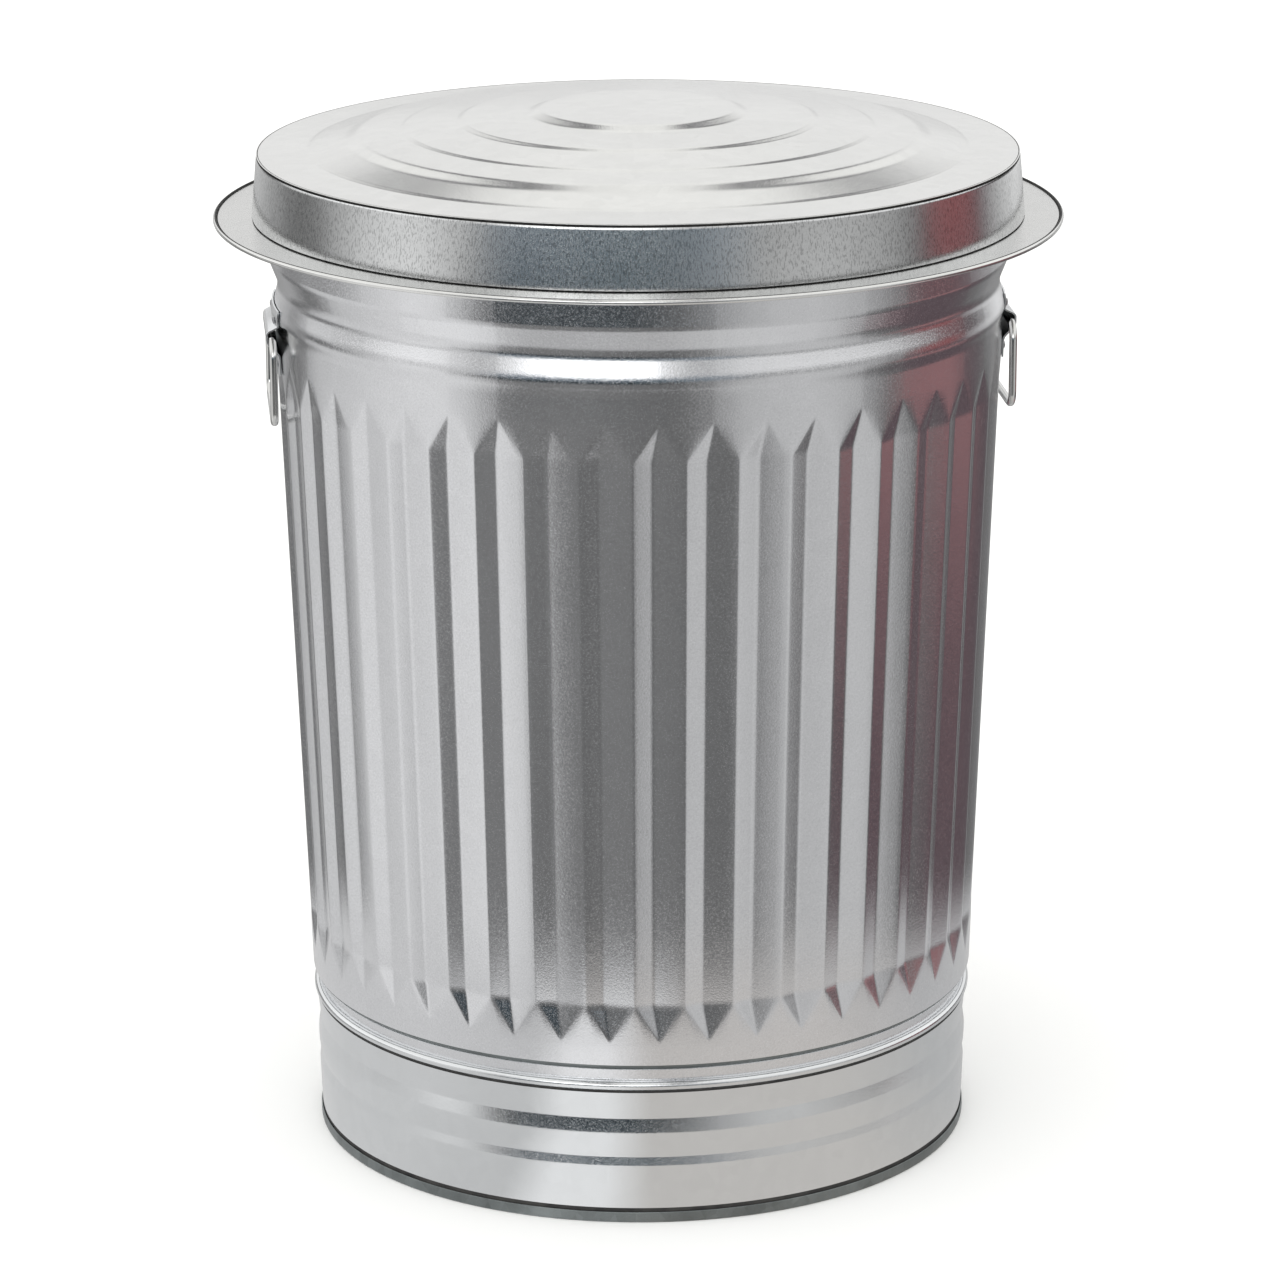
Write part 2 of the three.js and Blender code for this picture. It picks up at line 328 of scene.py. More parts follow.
def galvanised(
    name, colour, roughness, grain=0.3, fleck=0.1, tone=0.05, speckle=0.04, streak=0, grain_size=GRAIN_SIZE,
):
    """Zinc-coated metal: a fine rough grain, soft clouds, faint wipe marks and faint crystals.

    The grain is how far the bump rises, the fleck how much rougher some grains are, the speckle how
    much their colour differs, and the streak how dark the short upright scratches are.
    """
    material, tree, shader = new_material(name)
    place = add_node(tree, "ShaderNodeTexCoord").outputs["Object"]
    pattern = zinc_patterns(tree, place, grain_size)
    scratch = mapped(tree, pattern["streak"], 0.53, 0.62)

    shade = total(
        tree,
        centred(tree, pattern["cloud"], tone * 1.6),
        centred(tree, pattern["wipe"], tone),
        centred(tree, pattern["crystal"], tone * 0.5),
        centred(tree, pattern["fine"], speckle),
        math_node(tree, "MULTIPLY", scratch, -streak),
    )
    tint = math_node(tree, "ADD", shade, 1.0)
    base = add_node(tree, "ShaderNodeVectorMath", {0: colour, 1: tint}, operation="MULTIPLY")
    tree.links.new(base.outputs[0], shader.inputs["Base Color"])

    rough = total(
        tree,
        math_node(tree, "MULTIPLY_ADD", pattern["fleck"], fleck, roughness),
        centred(tree, pattern["cloud"], 0.10),
        centred(tree, pattern["wipe"], 0.05),
    )
    tree.links.new(rough, shader.inputs["Roughness"])

    height = math_node(tree, "MULTIPLY", pattern["fine"], grain)
    if streak:
        height = math_node(tree, "MULTIPLY_ADD", pattern["streak"], grain, height)
    give_bump(tree, shader, height, 1.0)
    shader.inputs["Metallic"].default_value = 1.0
    return material


def painted_joint_shade(name):
    """Painted shade: the black line where the narrow gap of a folded or lapped joint lies in shadow, a
    little mottled.
    """
    material, tree, shader = new_material(name)
    place = add_node(tree, "ShaderNodeTexCoord").outputs["Object"]
    patch = noise(tree, place, CREVICE_SHADE_WAVES, detail=4)
    shade = mapped(tree, patch, 0.3, 0.75)
    colour = blended(tree, shade, (0.012, 0.012, 0.013, 1), (0.05, 0.048, 0.045, 1))
    tree.links.new(colour, shader.inputs["Base Color"])
    rough = math_node(tree, "MULTIPLY_ADD", patch, 0.3, 0.55)
    tree.links.new(rough, shader.inputs["Roughness"])
    give_bump(tree, shader, patch, 0.6)
    return material


body_zinc = galvanised(
    "galvanised_body_sheet", (0.77, 0.775, 0.79), 0.09, grain=0.6, fleck=0.16, speckle=0.42,
)
crown_zinc = galvanised("galvanised_lid_crown", (0.76, 0.76, 0.745), 0.13, grain=0.5, fleck=0.06, tone=0.08)
flange_zinc = galvanised("galvanised_lid_flange", (0.65, 0.65, 0.64), 0.22, grain=0.5, tone=0.09)
skirt_zinc = galvanised(
    "galvanised_lid_skirt", (0.76, 0.77, 0.77), 0.11, grain=0.35, fleck=0.09, streak=0.32,
    grain_size=0.8 * MM,
)
base_zinc = galvanised("galvanised_base_sheet", (0.76, 0.775, 0.785), 0.09, grain=0.45, fleck=0.12)
# Dark zinc: the foot ring's own colour, and also painted shade on the body's fold above the band and on the
# handle straps' inner face
dull_zinc = galvanised("dark_zinc_ring_and_painted_shade", (0.22, 0.24, 0.24), 0.36, grain=1.2, tone=0.45, speckle=0.36)
wire_zinc = galvanised("bright_zinc_wire", (0.70, 0.70, 0.685), 0.11, grain=0.15, fleck=0.05)
rivet_steel = galvanised("zinc_plated_rivet", (0.42, 0.42, 0.43), 0.3, grain=0.7, tone=0.1)
# Painted shade: black for the narrow gaps of the joints, where shadow falls
joint_shade = painted_joint_shade("joint_shade")

# ---------- body shell ----------

# Where the columns of one groove lie, from its left edge to its right edge: they are closest at
# its valley.  A few more columns cross the plain strip between two grooves.
GROOVE = [0, 0.05, 0.17, 0.30, 0.345, 0.38, 0.415, 0.46, 0.62, 0.86, 1]
STRIP_COLUMNS = 2
CREST_STRIP = 0.07                    # width of the plain strip, where the groove is widest
APEX_WIDTH = 0.07                     # width of the groove's columns at its pointed ends

# A crease is rounded by averaging the press at these places across and along it
BEND_ACROSS = (-0.03, -0.015, 0, 0.015, 0.03)
BEND_ALONG = (-1.0 * MM, 0, 1.0 * MM)

# Rings near a flute's end, in millimetres from a little beyond its apex
END_RINGS = [0, 1, 2, 3.5, 6, 10, 14, 18, 21, 23, 25, 27]
BEYOND_APEX = 1 * MM
MIDDLE_RINGS = 5


def flute_level(height):
    """0 at a flute's pointed ends and beyond them, 1 where it has its whole width."""
    above = (FLUTE_TOP_APEX - height) / (FLUTE_TOP_APEX - FLUTE_TOP_BASE)
    below = (height - FLUTE_FOOT_APEX) / (FLUTE_FOOT_BASE - FLUTE_FOOT_APEX)
    return min(above, below, 1)


def flute_press(across, height):
    """How deep a flute is pressed, from 0 to 1, with its creases rounded as a bent sheet's are."""
    press = np.zeros_like(across)
    for up in BEND_ALONG:
        level = flute_level(height + up)
        for aside in BEND_ACROSS:
            place = np.mod(across + aside, 1)
            left_flank = (place - 0.5 + level / 2) / FLUTE_VALLEY
            right_flank = (0.5 + level / 2 - place) / (1 - FLUTE_VALLEY)
            press += np.maximum(np.minimum(left_flank, right_flank), 0)
    return press / (len(BEND_ALONG) * len(BEND_ACROSS))


def flute_columns(height):
    """The columns' places across one flute: they gather to a point at its ends."""
    level = max(flute_level(height), 0)
    width = APEX_WIDTH + (1 - CREST_STRIP - APEX_WIDTH) * level
    groove = 0.5 + (np.array(GROOVE) - 0.5) * width
    strip = np.linspace(groove[-1], groove[0] + 1, STRIP_COLUMNS + 2)[1:-1]
    return np.concatenate([groove, strip])


def flute_heights():
    """Heights of the rings through the flutes, close together where the sheet creases."""
    ends = [value * MM - BEYOND_APEX for value in END_RINGS]
    foot = [FLUTE_FOOT_APEX + value for value in ends]
    top = [FLUTE_TOP_APEX - value for value in reversed(ends)]
    middle = np.linspace(foot[-1], top[0], MIDDLE_RINGS + 2)[1:-1]
    return foot + list(middle) + top


def body_line():
    """Outer face of the body from its foot, inside the band, up to the curl round the rim wire."""
    lower = rounded([
        (SKIRT[0], shell_low.z), SKIRT, (*RECESS, 1.6 * MM), (*WAIST, 2.2 * MM),
        (FLUTE_FOOT_RADIUS - 0.6 * MM, FLUTE_FOOT_APEX - 2 * MM),
    ], steps=3)
    slope = (FLUTE_TOP_RADIUS - FLUTE_FOOT_RADIUS) / (FLUTE_TOP_BASE - FLUTE_FOOT_BASE)
    fluted = [(FLUTE_FOOT_RADIUS + (z - FLUTE_FOOT_BASE) * slope, z) for z in flute_heights()]
    upper = rounded([
        fluted[-1], (*PLAIN_TOP, 3 * MM), (*SHOULDER, 6.4 * MM), (*NECK, 5 * MM),
        (*COLLAR, 2.2 * MM), (RIM_CENTRE[0] - RIM_BORE, RIM_CENTRE[1] - 8 * MM),
    ], steps=6)
    curl = arc(RIM_CENTRE, RIM_BORE, *RIM_CURL, 8)
    return lower[:-1] + fluted + upper[1:] + curl


def body_ring(radius, height):
    """One ring of the body's vertices, pressed in where the flutes are."""
    across = flute_columns(height)
    radii = radius - FLUTE_DEPTH * flute_press(across, height)
    ring = []
    for flute in range(FLUTES):
        angles = FIRST_CREST + (flute + across) * 2 * math.pi / FLUTES
        ring += zip(radii * np.cos(angles), radii * np.sin(angles), [height] * len(across))
    return ring


def make_body():
    """The body sheet, with its fold just above the band painted dark as shade.  Returns its outer line."""
    line = body_line()
    rings = [body_ring(radius, height) for radius, height in line]
    around = len(rings[0])
    vertices = [vertex for ring in rings for vertex in ring]
    faces = band_faces(len(line), around)
    made = piece("body_shell_sheet", vertices, faces, body_zinc, "can", "galvanised_body", "body_shell")
    below = [point for point in line if point[1] < RECESS[1]]
    fold = [point for point in line if RECESS[1] <= point[1] < WAIST[1]]
    above = line[len(below) + len(fold):]
    # The fold is painted dark as shade
    paint_rings(made, [(below, body_zinc), (fold, dull_zinc), (above[:-1], body_zinc)], around)
    thicken(made, BODY_SHEET)
    return line


def radius_at(line, height):
    """Radius of a rising line at a height."""
    radii, heights = zip(*line)
    return float(np.interp(height, heights, radii))


# ---------- base ----------

BAND_SIDES = 192
CRIMP_RADIUS = 210.6 * MM
TUCK_RADIUS = 212.2 * MM
BEAD_RADIUS = 3.0 * MM
BEAD_ROLL = (-65, 150)                # from the tuck out over the bead's top, in degrees
BEAD_CENTRE = (band_high.x - BEAD_RADIUS, band_high.z - BEAD_RADIUS)


def make_band():
    """The band: a flared foot, a step, a swaged rib, and a rolled bead with a tuck under it."""
    crimp = [(CRIMP_RADIUS, band_low.z), (CRIMP_RADIUS, 9.5 * MM)]
    face = rounded([
        (210.9 * MM, 9.6 * MM), (212.0 * MM, 37.8 * MM, 0.8 * MM), (210.9 * MM, 44.2 * MM, 0.8 * MM),
        (212.3 * MM, 51.5 * MM, 4 * MM), (212.4 * MM, 59.8 * MM, 1.0 * MM),
        (211.0 * MM, 69.6 * MM, 0.8 * MM), (212.9 * MM, 87.0 * MM),
    ], steps=5)
    tuck = [(TUCK_RADIUS, 87.2 * MM), (TUCK_RADIUS, 87.7 * MM)]
    bead = arc(BEAD_CENTRE, BEAD_RADIUS, *BEAD_ROLL, 14)
    # The crimp at the band's foot and the tuck under its bead are painted black as shade
    stretches = [(crimp, joint_shade), (face, base_zinc), (tuck, joint_shade), (bead[:-1], base_zinc)]
    line = crimp + face + tuck + bead
    made = turned("base_band_sheet", line, BAND_SIDES, base_zinc, "can", "galvanised_base", "base_band")
    paint_rings(made, stretches, BAND_SIDES)
    thicken(made, BODY_SHEET)


PAN_EDGE = 207.4 * MM
PAN_SIDES = 160
PAN_GROOVE = (186 * MM, 183 * MM, 176 * MM, 173 * MM)   # a shallow ring pressed in the floor
PAN_GROOVE_DEPTH = 1.6 * MM
PAN_BEND = 2 * MM


def make_pan():
    """The recessed bottom disc, with its edge turned down and a shallow groove in its floor."""
    floor = pan_high.z
    bottom = floor - PAN_GROOVE_DEPTH
    groove = list(zip(PAN_GROOVE, (floor, bottom, bottom, floor), (PAN_BEND,) * 4))
    line = rounded([
        (PAN_EDGE, pan_low.z), (PAN_EDGE, floor, 3.5 * MM), *groove, (60 * MM, floor), (0, floor),
    ], steps=5)
    made = turned("base_pan_sheet", line, PAN_SIDES, base_zinc, "can", "galvanised_base", "base_pan")
    thicken(made, PAN_SHEET)


FOOT_INNER = 204.9 * MM


def make_foot_ring():
    """The folded channel that the can stands on: one closed outline, open at its top."""
    outer, top = foot_high.x, foot_high.z
    inner, sheet = FOOT_INNER, FOOT_SHEET
    line = rounded([
        (inner + sheet, top), (inner + 0.3 * MM, top, 0.2 * MM), (inner, top - 0.4 * MM, 0.2 * MM),
        (inner, 0, 1.0 * MM), (outer, 0, 1.6 * MM), (outer, top, 0.5 * MM), (outer - sheet, top, 0.3 * MM),
        (outer - sheet, sheet, 0.6 * MM), (inner + sheet, sheet, 0.6 * MM), (inner + sheet, top - 0.1 * MM),
    ], steps=3)
    turned("foot_ring_fold", line, BAND_SIDES, dull_zinc, "can", "dull_zinc", "foot_ring", closed=True)


# ---------- wires ----------

WIRE_SIDES = 160


def make_ring_wire(name, radius, height, wire, body, node):
    """A ring of round wire, as it lies inside a rolled edge."""
    line = arc((radius, height), wire, 0, 330, 11)
    turned(name, line, WIRE_SIDES, rivet_steel, body, "plain_steel", node, closed=True)


# ---------- lid ----------

# Pressed steps of the crown: radius, height, rise and width of each, in millimetres
CROWN_STEPS = [
    (207, 643, 1.0, 3), (180, 650, 3.6, 8), (148, 655, 1.0, 3), (112, 660, 1.6, 4), (65, 665, 3.2, 8),
]
STEP_BEND = 0.3                       # of the step's width
CROWN_MIDDLE = 30 * MM
LID_EDGE = (240 * MM, 640.9 * MM)
LID_FOOT = (243.5 * MM, 600.9 * MM)
LID_SIDES = 256
JOINT_DEPTH = 1.6 * MM
UPPER_JOINT = 1.4 * MM
LOWER_JOINT = 0.9 * MM
LIP = 0.4 * MM                        # of the crown's sheet, over the upper joint
HEM_RADIUS = 1.7 * MM
HEM_WIRE = 0.7 * MM
HEM_ROLL = (-150, 60)                 # from under the hem's wire up over its outer side, in degrees
HEM_TUCK = (66, 100)                  # where the rolled edge goes into its joint


def crown_line():
    """The crown from its edge to its middle, each step a short ramp with rounded creases."""
    edge_radius, edge_height = LID_EDGE
    points = [(edge_radius, edge_height - LIP), (edge_radius, edge_height, 0.2 * MM)]
    points.append((edge_radius - 3.5 * MM, edge_height + 0.2 * MM, 1 * MM))
    for radius, height, rise, width in CROWN_STEPS:
        for side in (1, -1):
            crease = (radius + side * width / 2, height - side * rise / 2, width * STEP_BEND)
            points.append(tuple(value * MM for value in crease))
    points += [(CROWN_MIDDLE, lid_high.z, 10 * MM), (0, lid_high.z)]
    return rounded(points, steps=4)


def lapped_joint(radius, height, width):
    """The narrow groove left where one sheet laps another, from its lower to its upper lip."""
    inner = radius - JOINT_DEPTH
    slope = 0.2 * MM
    return [
        (radius, height), (inner, height + slope), (inner, height + width - slope),
        (radius, height + width),
    ]


def hem_joint_line(centre, flange_height):
    """The joint between the rolled hem and the flange, sunk a little below the flange; the lid paints it
    black as shade.
    """
    sunk = flange_height - 0.5 * MM
    return arc(centre, HEM_RADIUS, *HEM_TUCK, 4) + [
        (centre[0] - 0.9 * MM, sunk), (centre[0] - 1.2 * MM, sunk),
    ]


def skirt_line(foot, edge):
    """The skirt from its foot to its edge, a little proud of the straight way at both ends."""
    return rounded([
        foot, (LID_FOOT[0] - 0.1 * MM, foot[1] + 1.4 * MM, 0.6 * MM),
        (LID_EDGE[0] + 0.3 * MM, edge[1] - 0.9 * MM, 0.6 * MM), edge,
    ])


def make_lid():
    """The lid: a hemmed flange, a flared skirt and a crown, with a joint between each two that is painted
    black as shade.
    """
    hem_centre = (lid_high.x - HEM_RADIUS, lid_low.z + HEM_RADIUS)
    flange_height = LID_FOOT[1]
    hem = arc(hem_centre, HEM_RADIUS, *HEM_ROLL, 14)
    hem_joint = hem_joint_line(hem_centre, flange_height)
    flange = [(hem_centre[0] - 1.4 * MM, flange_height)]
    lower_joint = lapped_joint(*LID_FOOT, LOWER_JOINT)
    upper_joint = lapped_joint(LID_EDGE[0], LID_EDGE[1] - LIP - UPPER_JOINT, UPPER_JOINT)
    skirt = skirt_line(lower_joint[-1], upper_joint[0])
    # Each joint is painted black as shade
    stretches = [
        (hem, crown_zinc), (hem_joint, joint_shade), (flange, flange_zinc),
        (lower_joint[:-1], joint_shade), (skirt[:-1], skirt_zinc), (upper_joint[:-1], joint_shade),
        (crown_line(), crown_zinc),
    ]
    line = [point for points, _ in stretches for point in points]
    made = turned("lid_pan_sheet", line, LID_SIDES, crown_zinc, "lid", "galvanised_lid", "lid_pan")
    paint_rings(made, stretches, LID_SIDES)
    thicken(made, LID_SHEET)
    make_ring_wire("lid_hem_wire", *hem_centre, HEM_WIRE, "lid", "lid_edge_wire")


# ---------- handles ----------

RIVET_SPREAD = 24 * MM
RIVET_SIDES = 20
WALL_STEP = 2 * MM                    # over which the wall's slope is taken
RIVET_HEIGHTS = {"lower": 513.2 * MM, "upper": 541 * MM}
RIVET_HEAD, RIVET_DOME = 2.6 * MM, 1.1 * MM
RIVET_TAIL, RIVET_TAIL_THICK = 2.6 * MM, 1.2 * MM
RIVET_SHANK = 1.8 * MM
RIVET_HEAD_SEAT, RIVET_TAIL_SEAT = 1.75 * MM, -1.8 * MM


def rivet_line():
    """A rivet's profile about its own axis, from the tail to the crown of its head."""
    tail_end = RIVET_TAIL_SEAT - RIVET_TAIL_THICK
    dome = [
        (RIVET_HEAD * math.cos(a), RIVET_HEAD_SEAT + RIVET_DOME * math.sin(a))
        for a in np.radians(np.linspace(8, 90, 9))
    ]
    return [
        (0.3 * MM, tail_end), (RIVET_TAIL - 0.5 * MM, tail_end), (RIVET_TAIL, tail_end + 0.4 * MM),
        (RIVET_TAIL, RIVET_TAIL_SEAT), (RIVET_SHANK, RIVET_TAIL_SEAT), (RIVET_SHANK, RIVET_HEAD_SEAT),
        (RIVET_HEAD - 0.2 * MM, RIVET_HEAD_SEAT), *dome[:-1], (0, dome[-1][1]),
    ]


def make_rivet(side, row, place, line, turn):
    """One rivet, its axis square to the sloping wall."""
    height = RIVET_HEIGHTS[row]
    radius = radius_at(line, height)
    lean = radius_at(line, height - WALL_STEP) - radius_at(line, height + WALL_STEP)
    tilt = math.atan2(lean, 2 * WALL_STEP)
    swing = math.asin((1 if place == "rear" else -1) * RIVET_SPREAD / radius)
    matrix = (
        Matrix.Rotation(turn + swing, 4, "Z")
        @ Matrix.Translation((radius, 0, height))
        @ Matrix.Rotation(math.pi / 2 - tilt, 4, "Y")
    )
    *rings, crown = rivet_line()
    angles = np.linspace(0, 2 * np.pi, RIVET_SIDES, endpoint=False)
    points = [Vector((r * math.cos(a), r * math.sin(a), z)) for r, z in rings for a in angles]
    points.append(Vector((0, 0, crown[1])))
    vertices = [matrix @ point for point in points]
    tail, _ = end_caps(len(rings), RIVET_SIDES)
    faces = band_faces(len(rings), RIVET_SIDES)
    faces += pole_faces((len(rings) - 1) * RIVET_SIDES, RIVET_SIDES, len(points) - 1)
    faces.append(tail)
    node = f"rivet_{side}_{row}_{place}"
    piece(node + "_head", vertices, faces, rivet_steel, "can", "plain_steel", node)


HOOD_FOOT, HOOD_LOWER, HOOD_UPPER, HOOD_SHOULDER = (519.5 * MM, 527.5 * MM, 534.5 * MM, 538 * MM)
STRAP_STATIONS = 25
STRAP_EDGE = 0.25 * MM                # the bevel of the strap's cut edges
STRAP_EDGE_ANGLE = math.radians(50)


def tangents_of(points):
    """Unit directions along a line of points in a plane."""
    tangents = np.gradient(points, axis=0)
    return tangents / np.linalg.norm(tangents, axis=1)[:, None]


def strap_section(line, across):
    """The strap's outline in one upright plane: its outer face upwards, then its inner face down."""
    hood_face = strap_high.x - STRAP_SHEET / 2
    clear = STRAP_GAP + STRAP_SHEET / 2

    def on_wall(height):
        radius = radius_at(line, height) + clear
        return (math.sqrt(radius * radius - across * across), height)

    points = np.array(rounded([
        on_wall(strap_low.z), (*on_wall(HOOD_FOOT), 2.4 * MM),
        (hood_face, HOOD_LOWER, 2.4 * MM), (hood_face, HOOD_UPPER, 1.8 * MM),
        (*on_wall(HOOD_SHOULDER), 1.2 * MM), (*on_wall(SHOULDER[1]), 1.2 * MM), on_wall(strap_high.z),
    ], steps=5))
    tangents = tangents_of(points)
    normals = np.stack([tangents[:, 1], -tangents[:, 0]], 1) * STRAP_SHEET / 2
    outline = np.concatenate([points + normals, (points - normals)[::-1]])
    return [(out, across, height) for out, height in outline]


def strap_end_faces(around, last):
    """Quads that close the strap's first and last section, between its outer and inner faces."""
    faces = []
    for j in range(around // 2 - 1):
        a, b, c, d = j, j + 1, around - 2 - j, around - 1 - j
        faces.append((a, b, c, d))
        faces.append((last + d, last + c, last + b, last + a))
    return faces


def make_bracket(side, line, turn):
    """A strap that follows the curved wall above and below, with a straight hood for the bail."""
    stations = np.linspace(-strap_high.y, strap_high.y, STRAP_STATIONS)
    rings = [strap_section(line, across) for across in stations]
    around = len(rings[0])
    matrix = Matrix.Rotation(turn, 4, "Z")
    vertices = [matrix @ Vector(v) for ring in rings for v in ring]
    faces = [tuple(reversed(face)) for face in band_faces(len(rings), around)]
    side_faces = (len(rings) - 1) * around
    faces += strap_end_faces(around, side_faces)
    made = piece(
        f"handle_bracket_{side}_strap", vertices, faces, base_zinc, "can", "galvanised_base",
        f"handle_bracket_{side}",
    )
    # The strap's inner face, against the wall, is painted dark as shade
    made.data.materials.append(dull_zinc)
    for face in made.data.polygons[:side_faces]:
        inner = face.index % around >= around // 2
        face.material_index = 1 if inner else 0
    bevel = made.modifiers.new("edges", "BEVEL")
    bevel.width = STRAP_EDGE
    bevel.segments = 2
    bevel.limit_method = "ANGLE"
    bevel.angle_limit = STRAP_EDGE_ANGLE


BAIL_BEND = 10 * MM
BAIL_BEND_STEPS = 10
BAIL_SEAM = 0.5 * MM                  # half the gap between the wire's two ends
BAIL_SIDES = 20


def make_bail(side, turn):
    """A bent wire loop whose two ends meet inside the bracket."""
    wire = (bail_high.x - bail_low.x) / 2
    reach = (bail_high.x + bail_low.x) / 2
    half = bail_high.y - wire
    top, bottom = bail_high.z - wire, bail_low.z + wire
    bend = BAIL_BEND
    corners = [
        ((half - bend, top - bend), 90, 0), ((half - bend, bottom + bend), 0, -90),
        ((bend - half, bottom + bend), -90, -180), ((bend - half, top - bend), -180, -270),
    ]
    path = [(BAIL_SEAM, top)]
    for centre, start, end in corners:
        path += arc(centre, bend, start, end, BAIL_BEND_STEPS)
    path.append((-BAIL_SEAM, top))
    points = np.array(path)
    tangents = tangents_of(points)
    normals = np.stack([-tangents[:, 1], tangents[:, 0]], 1)
    matrix = Matrix.Rotation(turn, 4, "Z")
    vertices = []
    for (y, z), (ny, nz) in zip(points, normals):
        for angle in np.linspace(0, 2 * np.pi, BAIL_SIDES, endpoint=False):
            out, aside = wire * math.sin(angle), wire * math.cos(angle)
            vertices.append(matrix @ Vector((reach + out, y + ny * aside, z + nz * aside)))
    faces = band_faces(len(points), BAIL_SIDES) + end_caps(len(points), BAIL_SIDES)
    body = f"handle_{side}"
    piece(f"{body}_wire", vertices, faces, wire_zinc, body, "bright_wire", body)


# ---------- rear seam ----------

SEAM_HALF_WIDTH = 3.6 * MM
SEAM_RISE = 1.1 * MM
SEAM_ROOT = 2.0 * MM
SEAM_FOOT, SEAM_TOP = 96 * MM, RIM_CENTRE[1] - 6 * MM
REAR = math.pi / 2


def make_seam(line):
    """The folded lock seam of the body sheet, on the crest nearest the rear."""
    pitch = 2 * math.pi / FLUTES
    angle = FIRST_CREST + round((REAR - FIRST_CREST) / pitch) * pitch
    heights = [z for _, z in line if SEAM_FOOT < z < SEAM_TOP]
    section = rounded([
        (-SEAM_HALF_WIDTH, -SEAM_ROOT), (-SEAM_HALF_WIDTH, SEAM_RISE, 0.6 * MM),
        (SEAM_HALF_WIDTH, SEAM_RISE, 0.6 * MM), (SEAM_HALF_WIDTH, -SEAM_ROOT),
    ], steps=3)
    matrix = Matrix.Rotation(angle, 4, "Z")
    vertices = [
        matrix @ Vector((radius_at(line, z) + out, -across, z)) for z in heights for across, out in section
    ]
    around = len(section)
    faces = band_faces(len(heights), around) + end_caps(len(heights), around)
    piece("body_lock_seam", vertices, faces, body_zinc, "can", "galvanised_body")


# ---------- stage ----------

FLOOR_HALF = 20.0
GLOW_HALF = 1.0
GLOW_HEIGHT = -MM                     # just under the floor, which reflections don't see


def stage_square(name, half, height, material):
    """A level square of the stage, with its middle on the can's axis."""
    corners = [(-half, -half, height), (half, -half, height), (half, half, height), (-half, half, height)]
    mesh = bpy.data.meshes.new(name)
    mesh.from_pydata(corners, [], [(0, 1, 2, 3)])
    mesh.materials.append(material)
    made = bpy.data.objects.new(name, mesh)
    bpy.context.scene.collection.objects.link(made)
    return made


def make_floor():
    """The plain pale floor.  Reflections see the glow and the studio in its place."""
    material, _, shader = new_material("floor")
    shader.inputs["Base Color"].default_value = (0.96, 0.96, 0.95, 1)
    shader.inputs["Roughness"].default_value = 0.9
    shader.inputs["Specular IOR Level"].default_value = 0.0
    floor = stage_square("floor", FLOOR_HALF, 0, material)
    floor.visible_glossy = False


STUDIO_TURN = VIEW_AZIMUTH            # the studio was set up about the photograph's view


def studio_azimuth(tree, direction):
    """A direction's azimuth round the can, from 0 to 1: a half is to the studio's front, and three
    quarters to its right.  The studio stands still, whichever way the can is looked at."""
    turn = add_node(tree, "ShaderNodeVectorRotate", {"Vector": direction, "Angle": -STUDIO_TURN})
    parts = add_node(tree, "ShaderNodeSeparateXYZ", {0: turn.outputs[0]}).outputs
    back = math_node(tree, "MULTIPLY", parts["Y"], -1.0)
    angle = math_node(tree, "ARCTAN2", parts["X"], back)
    return math_node(tree, "MULTIPLY_ADD", angle, 1 / (2 * math.pi), 0.5), parts


def turn_share(degrees):
    """Degrees from the studio's front, as an azimuth from 0 to 1."""
    return (degrees + 180) / 360


def ramp(tree, azimuth, stops):
    """Shade round the horizon, from (degrees, shade) stops: 0 degrees is to the studio's front."""
    made = add_node(tree, "ShaderNodeValToRGB", {0: azimuth})
    elements = made.color_ramp.elements
    elements.remove(elements[-1])
    for i, (degrees, shade) in enumerate(stops):
        place = turn_share(degrees)
        element = elements[0] if i == 0 else elements.new(place)
        element.position = place
        shade = shade if isinstance(shade, tuple) else (shade,) * 3
        element.color = (*shade, 1)
    return made.outputs["Color"]


WARM_DARK = (0.12, 0.09, 0.10)
RED = (0.37, 0.19, 0.195)
DARK_RED = (0.29, 0.11, 0.115)
PINK = (0.7, 0.45, 0.47)
DULL_PINK = (0.6, 0.4, 0.42)
BLUE_DARK = (0.03, 0.04, 0.047)
BLUE = (0.15, 0.19, 0.22)
BLUE_LIGHT = (0.24, 0.28, 0.32)

# The studio's panels and gaps, as the metal sees them at five heights: steeply down, over the far
# floor, just below the level, at the level, and above it.
UNDER = [
    (-180, 0.5), (-149, 0.4), (-138, 0.5), (-118, 0.85), (-91, 0.95), (-64, 0.9), (-50, 0.55),
    (-40, 0.5), (12, 0.5), (24, 0.6), (49, 0.7), (78, 0.65), (92, 0.5), (104, PINK),
    (118, DULL_PINK), (139, 0.3), (149, 0.4), (180, 0.5),
]
FAR = [
    (-180, 0.3), (-160, 0.36), (-152, 0.42), (-144, 0.2), (-137, 0.16), (-131, 0.3), (-124, 0.62),
    (-88, 0.76), (-62, 0.84), (-50, 0.56), (-44, 0.22), (-20, 0.22), (13, 0.16), (22, 0.26),
    (32, 0.54), (60, 0.62), (73, 0.5), (80, 0.26), (86, 0.15), (101, WARM_DARK), (132, WARM_DARK),
    (142, 0.16), (156, 0.3), (180, 0.3),
]
LEVEL = [
    (-180, 0.8), (-158, 0.6), (-148, 0.5), (-136, 0.36), (-126, 0.2), (-118, 0.14), (-108, 0.2),
    (-97, 0.5), (-88, 0.7), (-71, 0.92), (-63, 0.82), (-56, 0.5), (-49, 0.13), (-42, BLUE_DARK),
    (-4, BLUE_DARK), (9, 0.1), (16, 0.19), (29, 0.45), (42, 0.6), (56, 0.62), (71, 0.5), (79, 0.42),
    (88, 0.2), (96, WARM_DARK), (118, WARM_DARK), (132, 0.5), (151, 0.85), (180, 0.8),
]
